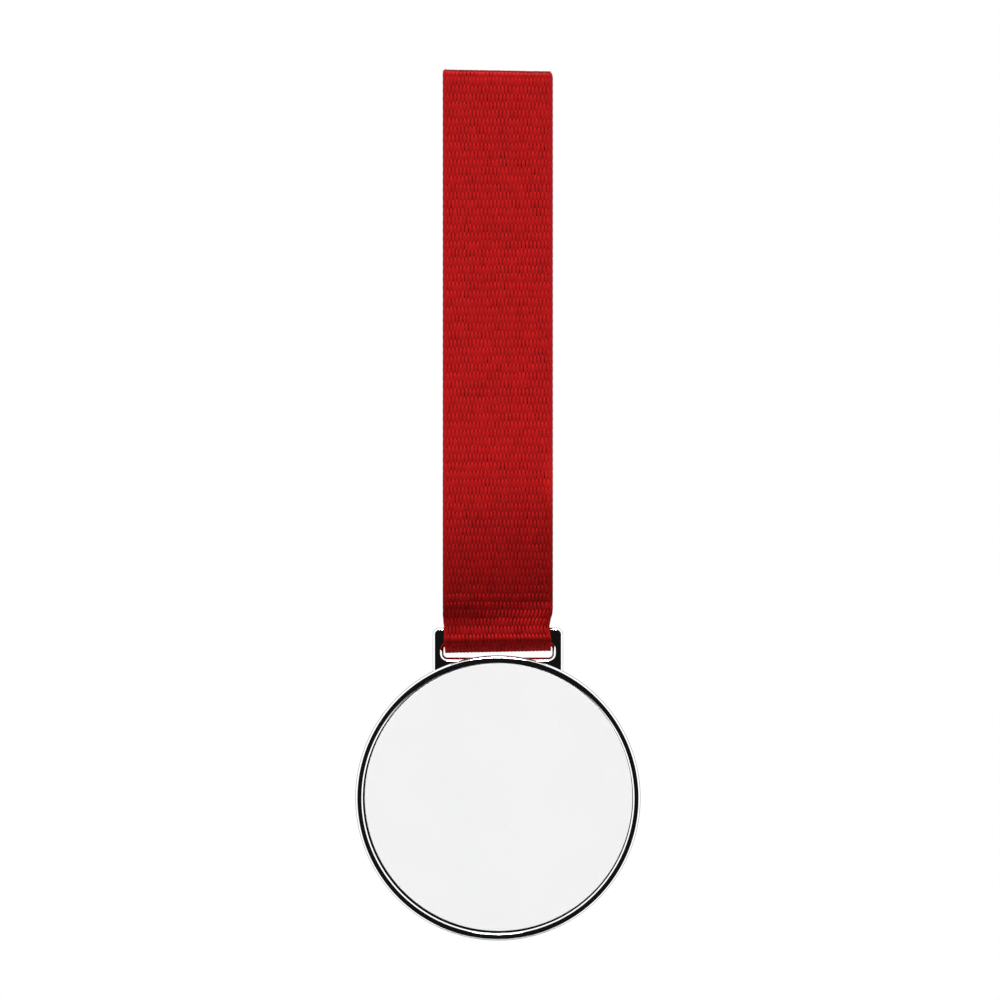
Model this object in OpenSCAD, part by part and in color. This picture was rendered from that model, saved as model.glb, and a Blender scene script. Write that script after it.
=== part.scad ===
// Sports finisher medal on a folded neck ribbon, hanging from the top of its ribbon.
// Millimetres. +Z up, the medal's face looks along -Y, and the origin is the hanging point:
// the middle of the ribbon's topmost fold.

/* [Medal] */
// Outside diameter of the cast medal
medal_d = 65; // [64:0.5:66]
// How far the rim's front face stands before the swing axis
rim_front = 2.0; // [1.7:0.1:2.4]
// How far the flat back face stands behind the swing axis
rim_back = 1.6; // [1.5:0.1:2.4]
// Width of the chamfer round both outside edges of the rim
edge_chamfer = 0.6; // [0.3:0.1:0.8]
// Diameter of the pocket that holds the insert
pocket_d = 61.6; // [61.5:0.1:62]
// Depth of the pocket below the rim's front face
pocket_depth = 1.0; // [0.9:0.1:1.4]
// Width of the chamfer round the pocket's mouth
pocket_chamfer = 0.4; // [0.2:0.1:0.5]
// Height from the medal's centre up to the swing axis
lug_rise = 36.8; // [36.6:0.1:38]

/* [Lug] */
// Overall width of the ribbon lug
lug_w = 29.7; // [29:0.1:32]
// Thickness of the lug plate
lug_t = 2.6; // [2:0.1:2.6]
// Radius of the lug's two top corners
lug_corner_r = 1.5; // [0.5:0.1:2]
// Height of the bar that the ribbon hangs on
bar_h = 4.0; // [3:0.1:4]
// Clear width of the ribbon slot
slot_w = 24.8; // [24.8:0.1:26]
// Clear height of the ribbon slot
slot_h = 2.8; // [2.8:0.1:3]
// Radius of the slot's corners
slot_corner_r = 0.9; // [0.4:0.1:1]

/* [Insert] */
// Diameter of the print insert
insert_d = 61; // [60:0.1:61]
// Thickness of the coated aluminium insert
insert_t = 0.65; // [0.4:0.05:0.7]
// Diameter of the adhesive disc behind the insert
adhesive_d = 58; // [50:0.5:59]
// Thickness of the adhesive disc
adhesive_t = 0.15; // [0.1:0.05:0.2]
// How far the insert was laid off centre, towards +X
insert_off_x = 0.14; // [0:0.02:0.14]
// How far the insert was laid off centre, upwards
insert_off_z = 0.20; // [0:0.02:0.2]

/* [Ribbon] */
// Width of the webbing
ribbon_w = 25; // [24.5:0.5:25]
// Width of the webbing where it is drawn into the slot
neck_w = 24.2; // [23:0.1:24.2]
// Thickness of the webbing
ribbon_t = 0.8; // [0.6:0.05:0.8]
// Distance between the middles of two folded layers
layer_pitch = 0.85; // [0.85:0.01:1]
// Height of the folded stack of ribbon
stack_h = 88; // [80:1:100]
// Drop from the hanging point to the swing axis
hang_drop = 129; // [125:1:135]
// How far the swing axis lies behind the middle of the folded stack
set_back = 3.4; // [3.2:0.1:3.6]
// Inside radius of the ribbon's turn under the bar
turn_r = 2.7; // [2.7:0.05:2.8]

/* [Seam] */
// Length of the overlap where the ribbon's two ends are sewn
lap_l = 20; // [16:1:24]
// Distance between the two rows of stitches
row_gap = 12; // [8:1:12]
// Stitches in each row
stitch_count = 8; // [5:1:9]
// Length of one stitch
stitch_l = 2.6; // [2:0.1:2.6]
// Thickness of the sewing thread
thread_d = 0.3; // [0.2:0.05:0.3]

/* [Hidden] */
$fn = 96;
CUT = 1;                                  // how far a cutter runs past what it cuts
LAYERS = 8;                               // layers in the folded stack
axis_z = -hang_drop;
medal_z = axis_z - lug_rise;
lug_top = axis_z + bar_h / 2;
slot_top = axis_z - bar_h / 2;
pocket_floor = -rim_front + pocket_depth;
insert_back = pocket_floor - adhesive_t;
turn_mid_r = turn_r + ribbon_t / 2;
half_t = ribbon_t / 2;
// Folds: the wide ones run outside the tight ones
tight_r = layer_pitch / 2;
wide_r = 1.5 * layer_pitch;
fold_top = -(wide_r + half_t);
fold_low = -stack_h + wide_r + half_t;
end_low = -stack_h + 3;                   // the loop's neck end stops a little short
pinch_top = axis_z + 12;                  // below here the two runs part round the bar
slope_end = axis_z + 7;                   // the front run leans back most steeply here
turn_front = set_back - turn_mid_r;       // middle of the webbing at the front of the turn
lean = 2 * (turn_front - layer_y(1)) / (-stack_h - axis_z);
seam_top = -50;                           // the outer end leaves the eighth layer here
seam_step = 6;                            // length over which the outer end climbs one layer
lap_top = seam_top - seam_step;
lap_low = lap_top - lap_l;
seam_z = (lap_top + lap_low) / 2;
NECK_TOP = 5;                             // the webbing starts to narrow this far above the axis
NECK_RUN = 3;                             // and takes this long to do it
BEND_STEPS = 10;
RUN_STEPS = 24;

// Middle of a folded layer, counted from the front
function layer_y(i) = (i - (LAYERS + 1) / 2) * layer_pitch;
// Smooth step from 0 to 1
function ease(u) = let (c = min(max(u, 0), 1)) c * c * (3 - 2 * c);
// Half the distance between the front pair's two runs
function spread(z) =
    tight_r + (turn_mid_r - tight_r) * ease((pinch_top - z) / (pinch_top - axis_z));
// Middle of the front run: it leans back more and more as far as slope_end, and is upright
// again where the turn begins
function front_y(z) =
    z > slope_end
    ? layer_y(1) + lean * pow(-stack_h - z, 2) / (-stack_h - slope_end) / 2
    : turn_front - lean * pow(z - axis_z, 2) / (slope_end - axis_z) / 2;
// A fold as points [y, z]: centre, radius, and first and last angle from +Y
function fold(cy, cz, r, a0, a1) = [
    for (i = [0:BEND_STEPS])
        let (a = a0 + (a1 - a0) * i / BEND_STEPS)
        [cy + r * cos(a), cz + r * sin(a)]
];
// The run of the pair from the stack to the bar: side is -1 at the front and 1 at the back
function run_down(side) = [
    for (i = [0:RUN_STEPS - 1])
        let (z = -stack_h + (axis_z + stack_h) * i / RUN_STEPS)
        [front_y(z) + (1 + side) * spread(z), z]
];
function reversed(list) = [for (i = [len(list) - 1:-1:0]) list[i]];

// Middle line of the whole ribbon, from its inner end to its outer end
ribbon_path = concat(
    [[layer_y(8), lap_top]],
    fold(layer_y(7.5), end_low, tight_r, 0, -180),
    fold(layer_y(6.5), fold_top, tight_r, 0, 180),
    fold(layer_y(4.5), fold_low, wide_r, 0, -180),
    fold(layer_y(2.5), fold_top, tight_r, 0, 180),
    run_down(1),
    fold(set_back, axis_z, turn_mid_r, 0, -180),
    reversed(run_down(-1)),
    fold(layer_y(2.5), fold_top, wide_r, 180, 0),
    fold(layer_y(4.5), fold_low, tight_r, -180, 0),
    fold(layer_y(6.5), fold_top, wide_r, 180, 0),
    [[layer_y(8), seam_top]],
    [[layer_y(9), lap_top]],
    [[layer_y(9), lap_low]]
);

// Unit vector across the path at point i
function across(p, i) =
    let (a = p[max(i - 1, 0)], b = p[min(i + 1, len(p) - 1)], d = b - a)
    [-d[1], d[0]] / norm(d);
// The path moved sideways by s
function beside(p, s) = [for (i = [0:len(p) - 1]) p[i] + s * across(p, i)];

// Turns a drawing of [y, z] into a solid of width w along X
module across_width(w) {
    multmatrix([[0, 0, 1, 0], [1, 0, 0, 0], [0, 1, 0, 0], [0, 0, 0, 1]])
        linear_extrude(w, center = true) children();
}

// Stands a drawing of [x, z] up between two depths, measured from the swing axis
module standing(y0, y1) {
    translate([0, set_back + y1, 0]) rotate([90, 0, 0]) linear_extrude(y1 - y0) children();
}

module rounded_rect(w, z0, z1, r) {
    union() {
        translate([-w / 2 + r, z0]) square([w - 2 * r, z1 - z0]);
        translate([-w / 2, z0 + r]) square([w, z1 - z0 - 2 * r]);
        for (x = [-w / 2 + r, w / 2 - r], z = [z0 + r, z1 - r]) translate([x, z]) circle(r);
    }
}

// The round body, chamfered front and back
module medal_disc() {
    r = medal_d / 2;
    c = edge_chamfer;
    translate([0, set_back, medal_z]) rotate([90, 0, 0]) rotate_extrude()
        polygon([
            [0, -rim_back], [r - c, -rim_back], [r, -rim_back + c],
            [r, rim_front - c], [r - c, rim_front], [0, rim_front]
        ]);
}

// The flat lug plate with its slot. It reaches down into the disc, whose top stands just above
// the slot's lower edge.
module lug_plate() {
    standing(-lug_t / 2, lug_t / 2) difference() {
        rounded_rect(lug_w, medal_z, lug_top, lug_corner_r);
        rounded_rect(slot_w, slot_top - slot_h, slot_top, slot_corner_r);
    }
}

module medal_casting() {
    color("silver") difference() {
        union() {
            medal_disc();
            lug_plate();
        }
        // pocket for the insert, chamfered at its mouth
        translate([0, set_back, medal_z]) rotate([90, 0, 0]) rotate_extrude()
            polygon([
                [0, rim_front - pocket_depth], [pocket_d / 2, rim_front - pocket_depth],
                [pocket_d / 2, rim_front - pocket_chamfer],
                [pocket_d / 2 + pocket_chamfer + CUT, rim_front + CUT], [0, rim_front + CUT]
            ]);
    }
}

module adhesive_disc() {
    color("lightyellow") translate([insert_off_x, set_back + pocket_floor, medal_z + insert_off_z])
        rotate([90, 0, 0]) cylinder(h = adhesive_t, d = adhesive_d);
}

module insert_plate() {
    color("white") translate([insert_off_x, set_back + insert_back, medal_z + insert_off_z])
        rotate([90, 0, 0]) cylinder(h = insert_t, d = insert_d);
}

// Wedges at both edges that the narrowed webbing is cut back by
module neck_trim() {
    inset = (ribbon_w - neck_w) / 2;
    low = axis_z - turn_r - ribbon_t - CUT;
    for (side = [-1, 1]) standing(-turn_mid_r - CUT, turn_mid_r + CUT)
        polygon([
            [side * ribbon_w / 2, axis_z + NECK_TOP],
            [side * (ribbon_w / 2 - inset), axis_z + NECK_TOP - NECK_RUN],
            [side * (ribbon_w / 2 - inset), low],
            [side * (ribbon_w / 2 + CUT), low],
            [side * (ribbon_w / 2 + CUT), axis_z + NECK_TOP]
        ]);
}

// Two rows of lockstitches sunk into a face of the seam: inward is the way into the webbing.
// Each row is one thread that runs along the face and dips to the seam's middle at every hole.
module thread_rows(face_y, inward) {
    row_l = stitch_count * stitch_l;
    for (z = [seam_z - row_gap / 2, seam_z + row_gap / 2]) {
        translate([0, face_y + inward * thread_d / 2, z])
            cube([row_l + thread_d, thread_d, thread_d], center = true);
        for (i = [0:stitch_count])
            translate([-row_l / 2 + i * stitch_l, face_y + inward * ribbon_t / 2, z])
                cube([thread_d, ribbon_t, thread_d], center = true);
    }
}

module ribbon() {
    color("firebrick") difference() {
        across_width(ribbon_w)
            polygon(concat(beside(ribbon_path, half_t), reversed(beside(ribbon_path, -half_t))));
        neck_trim();
        thread_rows(layer_y(9) + half_t, -1);
        thread_rows(layer_y(8) - half_t, 1);
    }
}

module needle_thread() {
    color("darkred") thread_rows(layer_y(9) + half_t, -1);
}

module bobbin_thread() {
    color("darkred") thread_rows(layer_y(8) - half_t, 1);
}

medal_casting();
adhesive_disc();
insert_plate();
ribbon();
needle_thread();
bobbin_thread();
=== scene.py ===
import bisect
import math
import random

import bmesh
import bpy
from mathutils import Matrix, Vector


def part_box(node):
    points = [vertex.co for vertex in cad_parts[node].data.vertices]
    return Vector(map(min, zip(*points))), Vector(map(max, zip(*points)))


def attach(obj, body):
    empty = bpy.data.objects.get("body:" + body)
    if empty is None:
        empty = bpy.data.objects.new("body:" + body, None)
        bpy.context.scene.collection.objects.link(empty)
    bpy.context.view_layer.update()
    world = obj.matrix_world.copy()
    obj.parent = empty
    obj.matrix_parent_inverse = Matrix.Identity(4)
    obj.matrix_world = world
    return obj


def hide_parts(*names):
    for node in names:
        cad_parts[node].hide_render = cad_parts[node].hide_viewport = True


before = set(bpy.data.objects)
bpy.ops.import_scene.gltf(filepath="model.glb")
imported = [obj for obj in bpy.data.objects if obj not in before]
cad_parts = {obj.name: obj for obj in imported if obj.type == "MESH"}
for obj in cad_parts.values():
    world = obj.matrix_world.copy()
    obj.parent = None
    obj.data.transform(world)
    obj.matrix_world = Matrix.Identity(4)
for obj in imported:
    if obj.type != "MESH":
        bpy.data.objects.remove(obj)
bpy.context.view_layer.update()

# ---------------------------------------------------------------------------------------------
# Webbing of the neck ribbon: one length of 25 mm polyester webbing, threaded through the lug
# and folded to and fro behind its front run. Its two ends are lapped and sewn at the back.
# This section is the ground of the weave, the weft that shows between the warp yarns.
MM = 0.001
layer_pitch = 0.85
half_t = 0.40
stack_h = 88.0
turn_r = 2.7
axis_y, axis_z = 3.4, -129.0
tight_r = layer_pitch / 2
wide_r = 1.5 * layer_pitch
turn_mid_r = turn_r + half_t
fold_top = -(wide_r + half_t)
fold_low = -stack_h + wide_r + half_t
end_low = -stack_h + 3
slope_end = axis_z + 7
seam_top, lap_top, lap_low = -50.0, -56.0, -76.0
pick = 1.862
warp_pitch = 23.7 / 27.5


def ease(u):
    """A smooth step from 0 to 1."""
    c = min(max(u, 0.0), 1.0)
    return c * c * (3 - 2 * c)


def layer_y(i):
    """Middle of the webbing in layer i, counted from the front."""
    return (i - 4.5) * layer_pitch


def fold(cy, cz, r, first, last, steps=14, square=1.0):
    """Points round a fold, with both angles taken from +Y. A square below 1 presses it flatter."""
    found = []
    for i in range(steps + 1):
        a = math.radians(first + (last - first) * i / steps)
        c, s = math.cos(a), math.sin(a)
        found.append((cy + r * math.copysign(abs(c) ** square, c),
                      cz + r * math.copysign(abs(s) ** square, s)))
    return found


def front_y(z):
    """Middle of the front run, which leans back from the thick stack to the thin lug."""
    upper, lower, power = -stack_h - slope_end, slope_end - axis_z, 2.3
    lean = (axis_y - turn_mid_r - layer_y(1)) / (upper / power + lower / 2)
    if z > slope_end:
        return layer_y(1) + lean * upper / power * (max(-stack_h - z, 0) / upper) ** power
    return axis_y - turn_mid_r - lean * max(z - axis_z, 0) ** 2 / lower / 2


def run_down(side, steps=96):
    """The front run, or the run behind it, which parts from it round the bar."""
    found = []
    for i in range(steps):
        z = -stack_h + (axis_z + stack_h) * i / steps
        spread = tight_r + (turn_mid_r - tight_r) * ease((axis_z + 12 - z) / 12)
        found.append((front_y(z) + (1 + side) * spread, z))
    return found


def climb(steps=10):
    """The outer end's step from the eighth layer up onto the lap."""
    return [(layer_y(8 + ease(i / steps)), seam_top + (lap_top - seam_top) * i / steps)
            for i in range(steps + 1)]


corners = (
    [(layer_y(8), lap_top)]
    + fold(layer_y(7.5), end_low, tight_r, 0, -180)
    + fold(layer_y(6.5), fold_top, tight_r, 0, 180)
    + fold(layer_y(4.5), fold_low, wide_r, 0, -180)
    + fold(layer_y(2.5), fold_top, tight_r, 0, 180)
    + run_down(1)
    + fold(axis_y, axis_z, turn_mid_r, 0, -180, 28)
    + run_down(-1)[::-1]
    + fold(layer_y(2.5), fold_top, wide_r, 180, 0, 28, 0.28)
    + fold(layer_y(4.5), fold_low, tight_r, -180, 0)
    + fold(layer_y(6.5), fold_top, wide_r, 180, 0, 28, 0.3)
    + climb()
    + [(layer_y(9), lap_low)]
)

# The stations of the strip: the path's own points, and more along its straight lengths.
stations = [corners[0]]
for a, b in zip(corners, corners[1:]):
    parts = max(1, math.ceil(math.dist(a, b) / (pick / 4)))
    stations += [(a[0] + (b[0] - a[0]) * i / parts, a[1] + (b[1] - a[1]) * i / parts)
                 for i in range(1, parts + 1)]
along = [0.0]
for a, b in zip(stations, stations[1:]):
    along.append(along[-1] + math.dist(a, b))
strip_length = along[-1]


def outward(i):
    """Unit vector [y, z] from the middle of the webbing to its outer side at station i."""
    a, b = stations[max(i - 1, 0)], stations[min(i + 1, len(stations) - 1)]
    size = math.dist(a, b)
    return (-(b[1] - a[1]) / size, (b[0] - a[0]) / size)


outs = [outward(i) for i in range(len(stations))]


def place(s):
    """Middle of the webbing and its outward direction at length s from the inner end."""
    i = min(max(bisect.bisect_right(along, s) - 1, 0), len(along) - 2)
    f = (s - along[i]) / (along[i + 1] - along[i])
    p, q, n, m = stations[i], stations[i + 1], outs[i], outs[i + 1]
    out = (n[0] + (m[0] - n[0]) * f, n[1] + (m[1] - n[1]) * f)
    size = math.hypot(*out)
    return p[0] + (q[0] - p[0]) * f, p[1] + (q[1] - p[1]) * f, out[0] / size, out[1] / size


def left_edge(z):
    """The ribbon's left side, which draws in where it enters the slot."""
    return -12.56 + 0.24 * ease((-124 - z) / 3) + 0.3 * ease((-129.5 - z) / 3)


def right_edge(z):
    """The ribbon's right side, which draws in further and higher up."""
    return 12.50 - 0.72 * ease((-122.8 - z) / 3.8) + 0.30 * ease((-127.2 - z) / 2.6)


def top_shade_of(out_z):
    """How strongly painted shade darkens a part of the webbing, by how far its outer side faces up,
    as on the tops of the folds.
    """
    return min(1.0, max(0.0, out_z) / 0.6) ** 0.7


def settled(t, y, z):
    """A point of the webbing as it really lies. t runs from -1 to 1 across it."""
    low, high = left_edge(z), right_edge(z)
    # The deeper layers lie a little narrower and out of line with the front run.
    inner = ease((y + 2.4) / 0.6) * ease((z + 92) / 4)
    x = (low + high) / 2 + t * (high - low) / 2 * (1 - 0.014 * inner)
    x += 0.14 * math.sin(2.3 * y + 0.9) * inner
    if z < -80:
        # The front run leans a little askew, and its right side curls.
        y += front_y(z - 0.2 * x * ease((z + 127) / 6)) - front_y(z)
        y -= 0.6 * ease((x - 9) / 3.5) * ease((-86 - z) / 14) * ease((z + 127) / 5)
    # The top folds slope down to the right and have soft ends, and the turn slopes the other way.
    near_top = ease(1 + z / 25)
    tip = 0.45 * max(0, 1 - (x + 12.5) / 0.6) ** 2 + 1.2 * max(0, 1 - (12.5 - x) / 0.8) ** 2
    z += near_top * (-0.0175 * x - 0.02) - ease(1 + z / 3) * tip
    z += ease((-127 - z) / 4) * (0.02 * x - 0.1)
    return (x * MM, y * MM, z * MM)


def new_piece(name, points, faces, materials, body):
    """A smooth mesh of points in metres that rides on a CAD body."""
    mesh = bpy.data.meshes.new(name)
    mesh.from_pydata(points, [], faces)
    mesh.shade_smooth()
    for material in materials:
        mesh.materials.append(material)
    obj = bpy.data.objects.new(name, mesh)
    bpy.context.scene.collection.objects.link(obj)
    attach(obj, body)
    return obj


class Value:
    """A shader socket that takes part in Python sums, each of them a Math node."""

    def __init__(self, tree, socket):
        self.tree = tree
        self.socket = socket

    def sum(self, operation, first, second=0.0, third=0.0):
        made = self.tree.nodes.new("ShaderNodeMath")
        made.operation = operation
        for pin, value in zip(made.inputs, (first, second, third)):
            if isinstance(value, Value):
                self.tree.links.new(value.socket, pin)
            else:
                pin.default_value = value
        return Value(self.tree, made.outputs[0])

    def __add__(self, other):
        return self.sum("ADD", self, other)

    def __radd__(self, other):
        return self.sum("ADD", other, self)

    def __sub__(self, other):
        return self.sum("SUBTRACT", self, other)

    def __rsub__(self, other):
        return self.sum("SUBTRACT", other, self)

    def __mul__(self, other):
        return self.sum("MULTIPLY", self, other)

    def __rmul__(self, other):
        return self.sum("MULTIPLY", other, self)

    def step(self, low, high):
        """0 up to low, 1 from high, and smooth between them."""
        settings = {"interpolation_type": "SMOOTHSTEP"}
        return self.node("MapRange", settings, {"Value": self, "From Min": low, "From Max": high})

    def node(self, kind, settings=None, inputs=None, output=0):
        """Any other node in this tree: its settings first, then its sockets."""
        made = self.tree.nodes.new("ShaderNode" + kind)
        for name, value in (settings or {}).items():
            setattr(made, name, value)
        for name, value in (inputs or {}).items():
            if isinstance(value, Value):
                self.tree.links.new(value.socket, made.inputs[name])
            else:
                made.inputs[name].default_value = value
        return Value(self.tree, made.outputs[output])

    def mixed(self, first, second):
        """The first colour where this is 0 and the second where it is 1."""
        settings = {"data_type": "RGBA"}
        return self.node("Mix", settings, {0: self, 6: first, 7: second}, 2)


class Finish(Value):
    """A new material, whose Principled shader takes numbers, colours and sockets by name."""

    def __init__(self, name):
        self.material = bpy.data.materials.new(name)
        self.material.use_nodes = True
        self.tree = self.material.node_tree
        self.shader = self.tree.nodes["Principled BSDF"]

    def set(self, **inputs):
        for name, value in inputs.items():
            pin = self.shader.inputs[name.replace("_", " ")]
            if isinstance(value, Value):
                self.tree.links.new(value.socket, pin)
            else:
                pin.default_value = value

    def noise(self, place, scale, detail=2.0):
        return self.node("TexNoise", {}, {"Vector": place, "Scale": scale, "Detail": detail})

    def bump(self, height, distance, strength=1.0):
        return self.node("Bump", {}, {"Height": height, "Distance": distance, "Strength": strength})


def strip_place(finish):
    """Millimetres across and along the webbing."""
    return finish.node("UVMap", {"uv_map": "strip"})


# Ground: its colour in the middle is painted shade, dark red for the valleys of the weave where it
# shows between the yarns; only at the sides, on the cord, is it the webbing's own red. Each pick's
# weft is a rib.
ground = Finish("webbing ground")
where = strip_place(ground)
from_middle = ground.node("SeparateXYZ", {}, {"Vector": where}, "X")
from_end = ground.node("SeparateXYZ", {}, {"Vector": where}, "Y")
rib = ground.sum("SINE", from_end * (2 * math.pi / pick))
yarn = ground.sum("SINE", from_middle * (2 * math.pi / warp_pitch * 2))
fibre = ground.noise(where, 2.2, 4.0)
ground_tone = (rib * 0.20 + yarn * 0.15 + fibre * 0.6 + 0.1).step(0.0, 1.0)
cord = ground.sum("ABSOLUTE", from_middle).step(11.72, 11.80)
# Painted shade: the dark valley reds, from 0.07 to 0.20, varying with the ribs, the yarns and a
# fibre noise.
painted_valley_shade = ground_tone.mixed((0.07, 0.002, 0.002, 1), (0.20, 0.004, 0.004, 1))
# Painted shade: the webbing's up-facing parts, such as the tops of its folds, turn towards near
# black.
top_shade = ground.node("Attribute", {"attribute_name": "top_shade"}, {}, "Fac")
before_top_shade = cord.mixed(painted_valley_shade, (0.40, 0.0055, 0.006, 1))
ground.set(
    Base_Color=(top_shade * 0.62).mixed(before_top_shade, (0.02, 0.001, 0.001, 1)),
    Roughness=0.78,
    Specular_IOR_Level=0.08,
    Normal=ground.bump((rib * 0.6 + yarn * 0.4) * (1 - cord) + fibre * 0.5, 0.00008, 0.9),
)

ground_points, ground_faces, ground_uv, ground_top_shade = [], [], [], []
half_top = (0.18, 0.36, 0.54, 0.68, 0.76, 0.84, 0.91, 0.938, 0.950, 0.966, 0.984, 0.996, 1)
half_under = (0.5, 0.8, 0.91, 0.952, 0.984, 0.996, 1)
cord_height = {1: 0.10, 0.996: 0.32, 0.984: 0.38, 0.966: 0.39, 0.950: 0.34}
for i, (y, z) in enumerate(stations):
    out_y, out_z = outs[i]
    s = along[i]
    loop = 0.5 + 0.5 * math.cos(2 * math.pi * s / pick)
    end = min(s, strip_length - s)
    thin = 0.55 + 0.45 * ease(end / 1.2)
    ring = []
    for side in (1, -1):
        half = half_top if side > 0 else half_under
        for t in ([-t for t in half[::-1]] + [0] + list(half))[::side]:
            height = cord_height.get(abs(t), 0.25 if side > 0 else 0.38) * thin
            reach = t * (1 + (0.004 * loop - 0.002) * (abs(t) > 0.96))
            ring.append((side * height, reach, t))
    for height, reach, t in ring:
        ground_points.append(settled(reach, y + out_y * height, z + out_z * height))
        ground_uv.append((t * 12.5, s))
        ground_top_shade.append(top_shade_of(out_z))
count = 2 * (len(half_top) + len(half_under) + 1)
for i in range(len(stations) - 1):
    for j in range(count):
        k = (j + 1) % count
        a, b = i * count, (i + 1) * count
        ground_faces.append((a + j, a + k, b + k, b + j))
ground_faces.append(tuple(range(count))[::-1])
ground_faces.append(tuple(range(len(ground_points) - count, len(ground_points))))
webbing = new_piece("ribbon_webbing", ground_points, ground_faces, [ground.material], "ribbon")


def lay_strip_map(obj, places):
    """Writes where each point lies on the flat webbing, in millimetres."""
    layer = obj.data.uv_layers.new(name="strip")
    for loop in obj.data.loops:
        layer.data[loop.index].uv = places[loop.vertex_index]


lay_strip_map(webbing, ground_uv)
# The amount of painted shade on the up-facing parts of the ground, by point.
webbing.data.attributes.new("top_shade", "FLOAT", "POINT").data.foreach_set("value", ground_top_shade)
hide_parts("ribbon")

# ---------------------------------------------------------------------------------------------
# Warp yarns of the webbing: thick red yarns that float over one pick and dive under the next,
# each row standing half a yarn over from the row before. Only the outer side shows them.
yarn_finish = Finish("webbing yarn")
where = strip_place(yarn_finish)
tone = yarn_finish.node("Attribute", {"attribute_name": "tone"}, {}, "Fac")
stretched = yarn_finish.node(
    "VectorMath", {"operation": "MULTIPLY"}, {0: where, 1: (9.0, 1.1, 1.0)})
filament = yarn_finish.noise(stretched, 1.0, 3.0)
patch = yarn_finish.noise(where, 0.16, 2.0)
shade = (tone * 0.5 + filament * 0.4 + patch * 0.4 - 0.15).step(0.0, 1.0)
# Painted shade: the yarns on up-facing parts, such as the tops of the folds, turn towards near
# black.
top_shade = yarn_finish.node("Attribute", {"attribute_name": "top_shade"}, {}, "Fac")
before_top_shade = shade.mixed((0.33, 0.0040, 0.0045, 1), (0.47, 0.0060, 0.0065, 1))
yarn_finish.set(
    Base_Color=(top_shade * 0.62).mixed(before_top_shade, (0.02, 0.001, 0.001, 1)),
    Roughness=0.62 + filament * 0.2,
    Specular_IOR_Level=0.08,
    Normal=yarn_finish.bump(filament, 0.00003, 0.8),
)


def reach_of(test):
    """Runs of the strip's length over which a test of (y, z, outward y, outward z) holds."""
    found, start = [], None
    for i, (y, z) in enumerate(stations):
        good = test(y, z, *outs[i], along[i])
        if good and start is None:
            start = along[i]
        if start is not None and (not good or i == len(stations) - 1):
            found.append((start, along[i]))
            start = None
    return found


# The lengths whose outer side shows, from the front and from the back.
turn_at = along[min(range(len(stations)), key=lambda i: stations[i][1])]
front_runs = reach_of(lambda y, z, oy, oz, s: (
    s >= turn_at - 4 and (y < layer_y(1.6) or z < -stack_h + 1 or oz > 0.05) and y < axis_y))
back_runs = reach_of(lambda y, z, oy, oz, s: (
    (s < turn_at - 4 and z < -stack_h + 2.2 and (y > -3 or oz < 0))
    or (s > turn_at and y > layer_y(3.4) and z > fold_top - 0.2)
    or (y > layer_y(7.9) and (s > turn_at or z < lap_low + 0.5))
    or (s < 60 and z < end_low and oz < -0.1)))


def lay_floats(name, runs, seed):
    """Every warp float on these lengths of the webbing, as one piece."""
    dice = random.Random(seed)
    points, faces, places, tones, top_shades = [], [], [], [], []
    steps_v, steps_u = 6, 4
    for first, last in runs:
        for k in range(math.ceil(first / pick), math.floor(last / pick) + 1):
            row_sag = dice.uniform(-0.04, 0.04)
            height_here = place(k * pick)[1]
            open_here = ease((-118 - height_here) / 3)
            odd = k % 2
            columns = [-11.85 + warp_pitch * (n + 0.5 + 0.5 * odd) for n in range(27)]
            columns.append((1 - 2 * odd) * (11.85 - warp_pitch / 4))
            for n, u in enumerate(columns):
                slim = 0.55 if n == 27 else dice.choice((0.80, 0.90, 0.97, 1.0, 1.03))
                firm = dice.uniform(0.85, 1.06) * (1 - 0.75 * ease(1 + height_here / 3))
                half_u = 0.422 * slim * dice.uniform(0.94, 1.04) * (1 - 0.03 * open_here)
                half_v = pick * 0.5 * dice.uniform(1.42, 1.60) * (1 - 0.12 * open_here)
                lean = dice.uniform(-0.05, 0.05)
                middle = k * pick + row_sag + dice.uniform(-0.05, 0.05)
                tone_here = min(max(dice.gauss(0.55, 0.2), 0), 1)
                base = len(points)
                for i in range(steps_v + 1):
                    v = 2 * i / steps_v - 1
                    wide = math.sqrt(max(0.0, 1 - abs(v) ** 2.4)) * 0.88 + 0.12
                    for j in range(steps_u + 1):
                        w = 2 * j / steps_u - 1
                        crown = (1 - v ** 4) * (1 - 0.85 * w * w)
                        height = 0.25 + (0.095 + 0.065 * open_here) * firm * crown
                        s = min(max(middle + v * half_v, 0.3), strip_length - 0.3)
                        y, z, out_y, out_z = place(s)
                        across = (u + w * half_u * wide + lean * v) / 12.5
                        points.append(settled(across, y + out_y * height, z + out_z * height))
                        places.append((across * 12.5, s))
                        tones.append(tone_here)
                        top_shades.append(top_shade_of(out_z))
                for i in range(steps_v):
                    for j in range(steps_u):
                        a = base + i * (steps_u + 1) + j
                        b = a + steps_u + 1
                        faces.append((a, b, b + 1, a + 1))
    obj = new_piece(name, points, faces, [yarn_finish.material], "ribbon")
    lay_strip_map(obj, places)
    obj.data.attributes.new("tone", "FLOAT", "POINT").data.foreach_set("value", tones)
    # The amount of painted shade on the up-facing parts of the yarns, by point.
    obj.data.attributes.new("top_shade", "FLOAT", "POINT").data.foreach_set("value", top_shades)
    return obj


front_floats = lay_floats("ribbon_front_yarns", front_runs, 11)
back_floats = lay_floats("ribbon_back_yarns", back_runs, 12)

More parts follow.
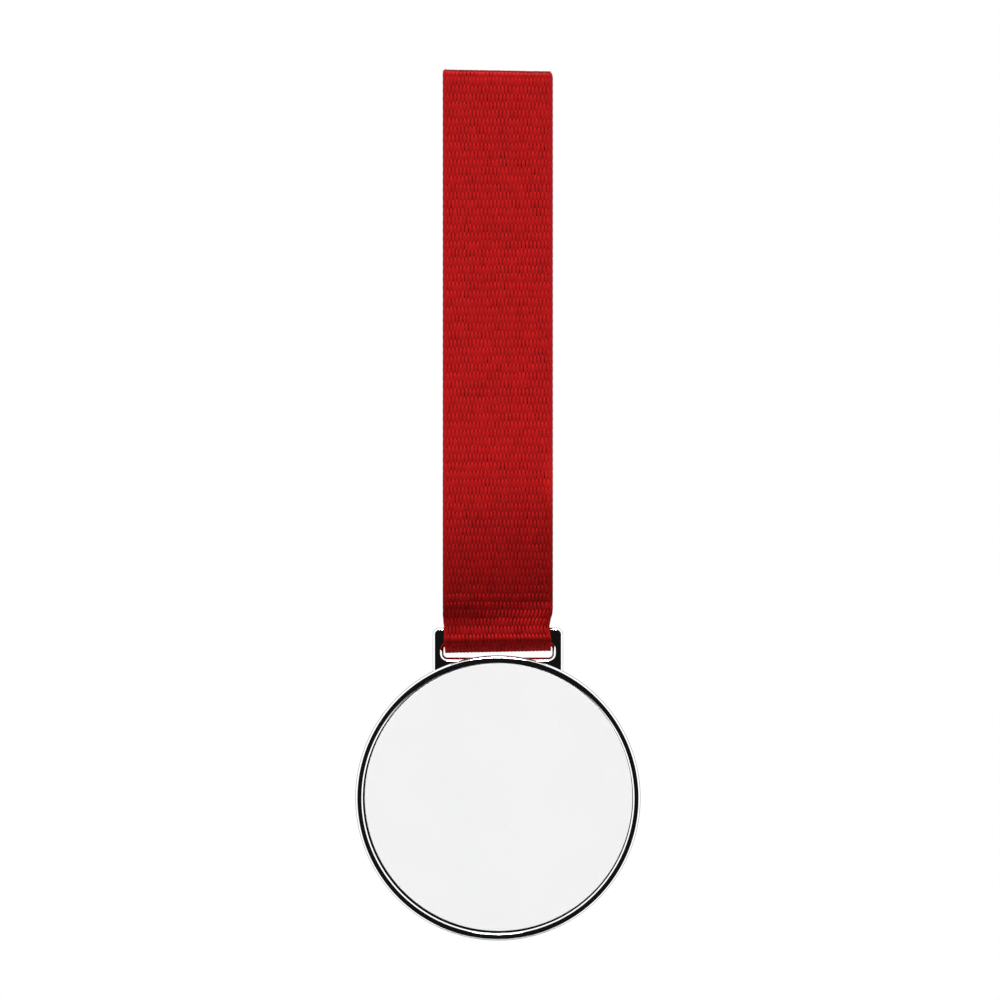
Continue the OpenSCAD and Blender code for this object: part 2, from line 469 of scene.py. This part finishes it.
# ---------------------------------------------------------------------------------------------
# Seam: two rows of lockstitches of twisted polyester thread through the lapped ends. The needle
# thread lies on the lap's outer face and the bobbin thread under it, against the next layer.
thread = Finish("sewing thread")
coil = thread.node("TexCoord", {}, {}, "Object")
ply = thread.noise(coil, 9000.0, 3.0)
thread.set(
    Base_Color=ply.step(0.3, 0.7).mixed((0.20, 0.005, 0.006, 1), (0.46, 0.016, 0.018, 1)),
    Roughness=0.5,
    Specular_IOR_Level=0.25,
    Normal=thread.bump(ply, 0.00002, 0.6),
)
stitch_l, stitch_count, row_gap = 2.6, 8, 12.0
seam_z = (lap_top + lap_low) / 2


def sew(name, face_y, outside):
    """Both rows of one thread on a face of the seam; outside is the way off the face."""
    points, faces = [], []
    steps, sides = 16, 6
    for row_z in (seam_z - row_gap / 2, seam_z + row_gap / 2):
        for ply_at in (0, math.pi):
            base = len(points)
            total = stitch_count * steps
            for i in range(total + 1):
                f = i / steps
                x = (f - stitch_count / 2) * stitch_l
                arch = abs(math.sin(math.pi * f)) ** 0.45
                y = face_y + outside * (-0.42 + 0.50 * arch)
                turn = ply_at + x * 2 * math.pi / 0.95
                for j in range(sides):
                    a = 2 * math.pi * j / sides
                    dy = 0.065 * math.cos(turn) + 0.085 * math.cos(a)
                    dz = 0.065 * math.sin(turn) + 0.085 * math.sin(a)
                    points.append((x * MM, (y + dy) * MM, (row_z + dz) * MM))
            for i in range(total):
                for j in range(sides):
                    a = base + i * sides
                    k = (j + 1) % sides
                    faces.append((a + j, a + k, a + sides + k, a + sides + j))
            faces.append(tuple(range(base, base + sides))[::-1])
            faces.append(tuple(range(len(points) - sides, len(points))))
    obj = new_piece(name, points, faces, [thread.material], "ribbon")
    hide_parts(name)
    return obj


needle = sew("needle_thread", layer_y(9) + half_t, 1)
bobbin = sew("bobbin_thread", layer_y(8) - half_t, -1)

# ---------------------------------------------------------------------------------------------
# Medal casting: zinc die casting, polished and chrome plated. A round disc with a raised rim
# and a shallow pocket, and a slotted lug plate on top that stands within the disc's thickness.
casting_low, casting_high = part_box("medal_casting")
radius = (casting_high[0] - casting_low[0]) / 2 / MM
medal_z = casting_low[2] / MM + radius
rim_front, rim_back = casting_low[1] / MM, casting_high[1] / MM
lug_top = casting_high[2] / MM
edge, pocket_r, pocket_edge, pocket_fall = 0.6, 30.8, 0.32, 0.17
pocket_floor = rim_front + 1.0
lug_half_w, lug_corner, lug_foot_r = 14.85, 1.5, 31.0
slot_half_w, slot_low, slot_high, slot_corner = 12.4, -133.8, -131.0, 0.9

chrome = Finish("chrome plate")
where = chrome.node("TexCoord", {}, {}, "Object")
wave = chrome.noise(where, 180.0, 2.0)
haze = chrome.noise(where, 900.0, 4.0)
chrome.set(
    Base_Color=haze.step(0.3, 0.8).mixed((0.80, 0.80, 0.81, 1), (0.74, 0.74, 0.755, 1)),
    Metallic=1.0,
    Roughness=0.045 + haze.step(0.45, 0.8) * 0.07,
    Normal=chrome.bump(wave, 0.00001, 0.25),
)


def softened(corners, usual=0.07):
    """A line of points with its inner corners rounded, by a third number where a corner has one."""
    line = [Vector(corners[0][:2])]
    for a, b, c in zip(corners, corners[1:], corners[2:]):
        reach = b[2] if len(b) > 2 else usual
        a, b, c = Vector(a[:2]), Vector(b[:2]), Vector(c[:2])
        steps = 3 + int(reach / 0.1)
        start = b + (a - b).normalized() * reach
        stop = b + (c - b).normalized() * reach
        line.append(start + (a - b).normalized() * 0.02)
        for i in range(steps + 1):
            f = i / steps
            line.append(start * (1 - f) ** 2 + b * 2 * f * (1 - f) + stop * f * f)
        line.append(stop + (c - b).normalized() * 0.02)
    return line + [Vector(corners[-1][:2])]


def lathe(profile, centre, turns=360):
    """A closed body turned about Y from (radius, y) points, first and last on the axis."""
    bm = bmesh.new()
    rings = []
    for r, y in profile:
        if r < 1e-6:
            rings.append([bm.verts.new((centre[0] * MM, y * MM, centre[1] * MM))])
            continue
        around = [2 * math.pi * i / turns for i in range(turns)]
        rings.append([bm.verts.new(((centre[0] + r * math.cos(a)) * MM, y * MM,
                                    (centre[1] + r * math.sin(a)) * MM)) for a in around])
    for ring, after in zip(rings, rings[1:]):
        for i in range(turns):
            j = (i + 1) % turns
            around = [ring[i % len(ring)], ring[j % len(ring)], after[j % len(after)],
                      after[i % len(after)]]
            bm.faces.new(list(dict.fromkeys(around)))
    bmesh.ops.recalc_face_normals(bm, faces=bm.faces)
    return bm


def rounded_outline(left, right, low, high, r, steps=16):
    """Points [x, z] round a rectangle with rounded corners."""
    found = []
    for cx, cz, first in ((right - r, high - r, 0), (left + r, high - r, 90),
                          (left + r, low + r, 180), (right - r, low + r, 270)):
        for i in range(steps + 1):
            a = math.radians(first + 90 * i / steps)
            found.append((cx + r * math.cos(a), cz + r * math.sin(a)))
    return found


def lug_outline(inset):
    """The lug plate's outline, which ends below in an arc inside the disc's rim."""
    half_w = lug_half_w - inset
    found = rounded_outline(-half_w, half_w, medal_z, lug_top - inset, lug_corner - inset)
    found = found[:len(found) // 2]
    sweep = math.asin(half_w / lug_foot_r)
    for i in range(41):
        a = -sweep + 2 * sweep * i / 40
        found.append((lug_foot_r * math.sin(a), medal_z + lug_foot_r * math.cos(a)))
    return found


def slot_outline(grow):
    """The slot's outline, wider by grow all round."""
    half_w = slot_half_w + grow
    return rounded_outline(-half_w, half_w, slot_low - grow, slot_high + grow, slot_corner + grow)


def tube(bm, outline, profile):
    """Rings of an outline for each (inset, y) of a profile. Returns the end rings' edges."""
    rings = [[bm.verts.new((x * MM, y * MM, z * MM)) for x, z in outline(inset)]
             for inset, y in profile]
    size = len(rings[0])
    for ring, after in zip(rings, rings[1:]):
        for i in range(size):
            j = (i + 1) % size
            bm.faces.new((ring[i], ring[j], after[j], after[i]))
    return [[bm.edges.get((ring[i], ring[(i + 1) % size])) for i in range(size)]
            for ring in (rings[0], rings[-1])]


plate_front, plate_back, lug_edge = axis_y - 1.3, axis_y + 1.3, 0.46
flare, flare_fall, draft, draft_fall = 0.78, 0.20, 0.40, 1.15
plate = bmesh.new()
outer_ends = tube(plate, lug_outline, softened([
    (lug_edge + 0.25, plate_front), (lug_edge, plate_front, 0.04),
    (0, plate_front + lug_edge, 0.28), (0, plate_back - lug_edge, 0.28),
    (lug_edge, plate_back, 0.04), (lug_edge + 0.25, plate_back)]))
slot_ends = tube(plate, slot_outline, softened([
    (flare + 0.2, plate_front), (flare, plate_front, 0.03),
    (draft, plate_front + flare_fall, 0.05), (0, plate_front + draft_fall, 0.03),
    (0, plate_back - draft_fall, 0.03), (draft, plate_back - flare_fall, 0.05),
    (flare, plate_back, 0.03), (flare + 0.2, plate_back)]))
for outer_ring, slot_ring in zip(outer_ends, slot_ends):
    bmesh.ops.triangle_fill(plate, use_beauty=True, edges=outer_ring + slot_ring)
bmesh.ops.recalc_face_normals(plate, faces=plate.faces)

disc = lathe(softened([
    (0, pocket_floor), (pocket_r, pocket_floor), (pocket_r, rim_front + pocket_fall, 0.02),
    (pocket_r + pocket_edge, rim_front, 0.04), (radius, rim_front, 0.9),
    (radius, rim_back, edge), (0, rim_back)]), (0, medal_z))


def loose_object(bm, name):
    """A new object with this mesh, not yet on any body."""
    mesh = bpy.data.meshes.new(name)
    bm.to_mesh(mesh)
    bm.free()
    obj = bpy.data.objects.new(name, mesh)
    bpy.context.scene.collection.objects.link(obj)
    return obj


def combine(obj, other):
    """obj's mesh joined with another's, which is then removed."""
    step = obj.modifiers.new("combine", "BOOLEAN")
    step.object = other
    step.operation = "UNION"
    step.solver = "EXACT"
    graph = bpy.context.evaluated_depsgraph_get()
    mesh = bpy.data.meshes.new_from_object(obj.evaluated_get(graph), depsgraph=graph)
    obj.modifiers.clear()
    obj.data = mesh
    bpy.data.objects.remove(other)


casting = loose_object(disc, "medal_body")
combine(casting, loose_object(plate, "lug_plate"))
casting.data.materials.clear()
casting.data.materials.append(chrome.material)
casting.data.shade_smooth()
casting.data.set_sharp_from_angle(angle=math.radians(18))
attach(casting, "medal")
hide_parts("medal_casting")

# ---------------------------------------------------------------------------------------------
# Insert: a disc punched from thin aluminium sheet with a satin white print coat on its face,
# laid by hand a little off the pocket's centre. Its punched edge is bare metal, rolled over
# slightly at the face. Behind it is the disc of double-sided adhesive that holds it.
insert_low, insert_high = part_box("insert_plate")
insert_r = (insert_high[0] - insert_low[0]) / 2 / MM
insert_x = (insert_high[0] + insert_low[0]) / 2 / MM
insert_z = (insert_high[2] + insert_low[2]) / 2 / MM
insert_front, insert_back = insert_low[1] / MM, insert_high[1] / MM

coat = Finish("white print coat")
where = coat.node("TexCoord", {}, {}, "Object")
speck = coat.noise(where, 700.0, 3.0).step(0.72, 0.80)
mottle = coat.noise(where, 60.0, 4.0)
peel = coat.noise(where, 2500.0, 2.0)
base = mottle.step(0.3, 0.7).mixed((0.90, 0.905, 0.90, 1), (0.885, 0.892, 0.888, 1))
coat.set(
    Base_Color=speck.mixed(base, (0.78, 0.77, 0.75, 1)),
    Roughness=0.42 + peel * 0.12,
    Specular_IOR_Level=0.35,
    Normal=coat.bump(peel, 0.000008, 0.5),
)
sheared = Finish("sheared aluminium edge")
where = sheared.node("TexCoord", {}, {}, "Object")
streak = sheared.noise(where, 5000.0, 3.0)
sheared.set(
    Base_Color=streak.mixed((0.72, 0.72, 0.73, 1), (0.86, 0.86, 0.87, 1)),
    Metallic=1.0,
    Roughness=0.35 + streak * 0.15,
    Normal=sheared.bump(streak, 0.00001, 0.5),
)
insert = loose_object(lathe(softened([
    (0, insert_front), (insert_r - 0.07, insert_front), (insert_r, insert_front + 0.07),
    (insert_r, insert_back), (0, insert_back)], 0.03), (insert_x, insert_z)), "insert_disc")
insert.data.materials.append(coat.material)
insert.data.materials.append(sheared.material)
for face in insert.data.polygons:
    face.material_index = 0 if face.center[1] < (insert_front + 0.09) * MM else 1
insert.data.shade_smooth()
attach(insert, "medal")
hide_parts("insert_plate")

glue = Finish("adhesive film")
where = glue.node("TexCoord", {}, {}, "Object")
cloud = glue.noise(where, 120.0, 3.0)
glue.set(
    Base_Color=cloud.mixed((0.86, 0.83, 0.72, 1), (0.78, 0.75, 0.64, 1)),
    Roughness=0.5,
    Normal=glue.bump(cloud, 0.00002, 0.4),
)
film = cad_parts["adhesive_disc"]
film.data.materials.clear()
film.data.materials.append(glue.material)

# ---------------------------------------------------------------------------------------------
# The room: a pale round floor well below the medal, soft lights that rake the front and back of
# the webbing, another on the medal's face, and white all round but for darkness in front,
# which is what flat chrome shows to whoever looks at it.
floor_points = [(0.45 * math.cos(a * math.pi / 90), 0.45 * math.sin(a * math.pi / 90), -1.0)
                for a in range(180)]
floor_mesh = bpy.data.meshes.new("floor")
floor_mesh.from_pydata(floor_points, [], [tuple(range(len(floor_points)))])
floor = bpy.data.objects.new("floor", floor_mesh)
bpy.context.scene.collection.objects.link(floor)
pale = Finish("pale floor")
pale.set(Base_Color=(0.86, 0.86, 0.86, 1), Roughness=0.9)
floor_mesh.materials.append(pale.material)

world = bpy.data.worlds.new("room")
bpy.context.scene.world = world
world.use_nodes = True
air = Value(world.node_tree, None)
way = air.node("TexCoord", {}, {}, "Generated")
ahead = air.node("SeparateXYZ", {}, {"Vector": way}, "Y")
up = air.node("SeparateXYZ", {}, {"Vector": way}, "Z")
seen = air.node("LightPath", {}, {}, "Is Camera Ray")
side = air.sum("ABSOLUTE", air.node("SeparateXYZ", {}, {"Vector": way}, "X"))
dark = (0 - ahead - up * 0.21 - side * 0.2).step(0.50, 0.60)
behind = ahead.step(0.35, 0.70) * (1 - ahead.step(0.88, 0.99) * 0.65)
walls = (1.4 - behind * 1.28) * (1 - dark) + dark * 0.008
mirrored = air.node("LightPath", {}, {}, "Is Glossy Ray")
strength = seen + (1 - seen) * (mirrored * walls + (1 - mirrored) * (0.25 - up * 0.2))
back = world.node_tree.nodes["Background"]
back.inputs["Color"].default_value = (1, 1, 1, 1)
world.node_tree.links.new(strength.socket, back.inputs["Strength"])


def soft_light(name, energy, lean, lit):
    """A broad light that leans from overhead towards the front and falls on these objects."""
    data = bpy.data.lights.new(name, "SUN")
    data.energy = energy
    data.angle = math.radians(16)
    lamp = bpy.data.objects.new(name, data)
    bpy.context.scene.collection.objects.link(lamp)
    lamp.rotation_euler = (math.radians(lean), 0, 0)
    lamp.light_linking.receiver_collection = bpy.data.collections.new(name)
    for obj in lit:
        lamp.light_linking.receiver_collection.objects.link(obj)


soft_light("soft_top_light", 13.4, 10.6, (webbing, front_floats, back_floats, needle, bobbin))
soft_light("soft_back_light", 2.8, -60, (webbing, front_floats, back_floats, needle, bobbin))
soft_light("soft_front_light", 3.3, 45, (casting, insert, film, floor))

# The camera stands level with the middle of the whole object, far off with a long lens.
camera_data = bpy.data.cameras.new("camera")
camera_data.lens = 400
camera_data.sensor_width = 36
camera = bpy.data.objects.new("camera", camera_data)
bpy.context.scene.collection.objects.link(camera)
camera.location = (0.00047, -0.2277 * 400 / 36, -0.0979)
camera.rotation_euler = (math.pi / 2, 0, 0)
bpy.context.scene.camera = camera
bpy.context.scene.view_settings.view_transform = "Standard"
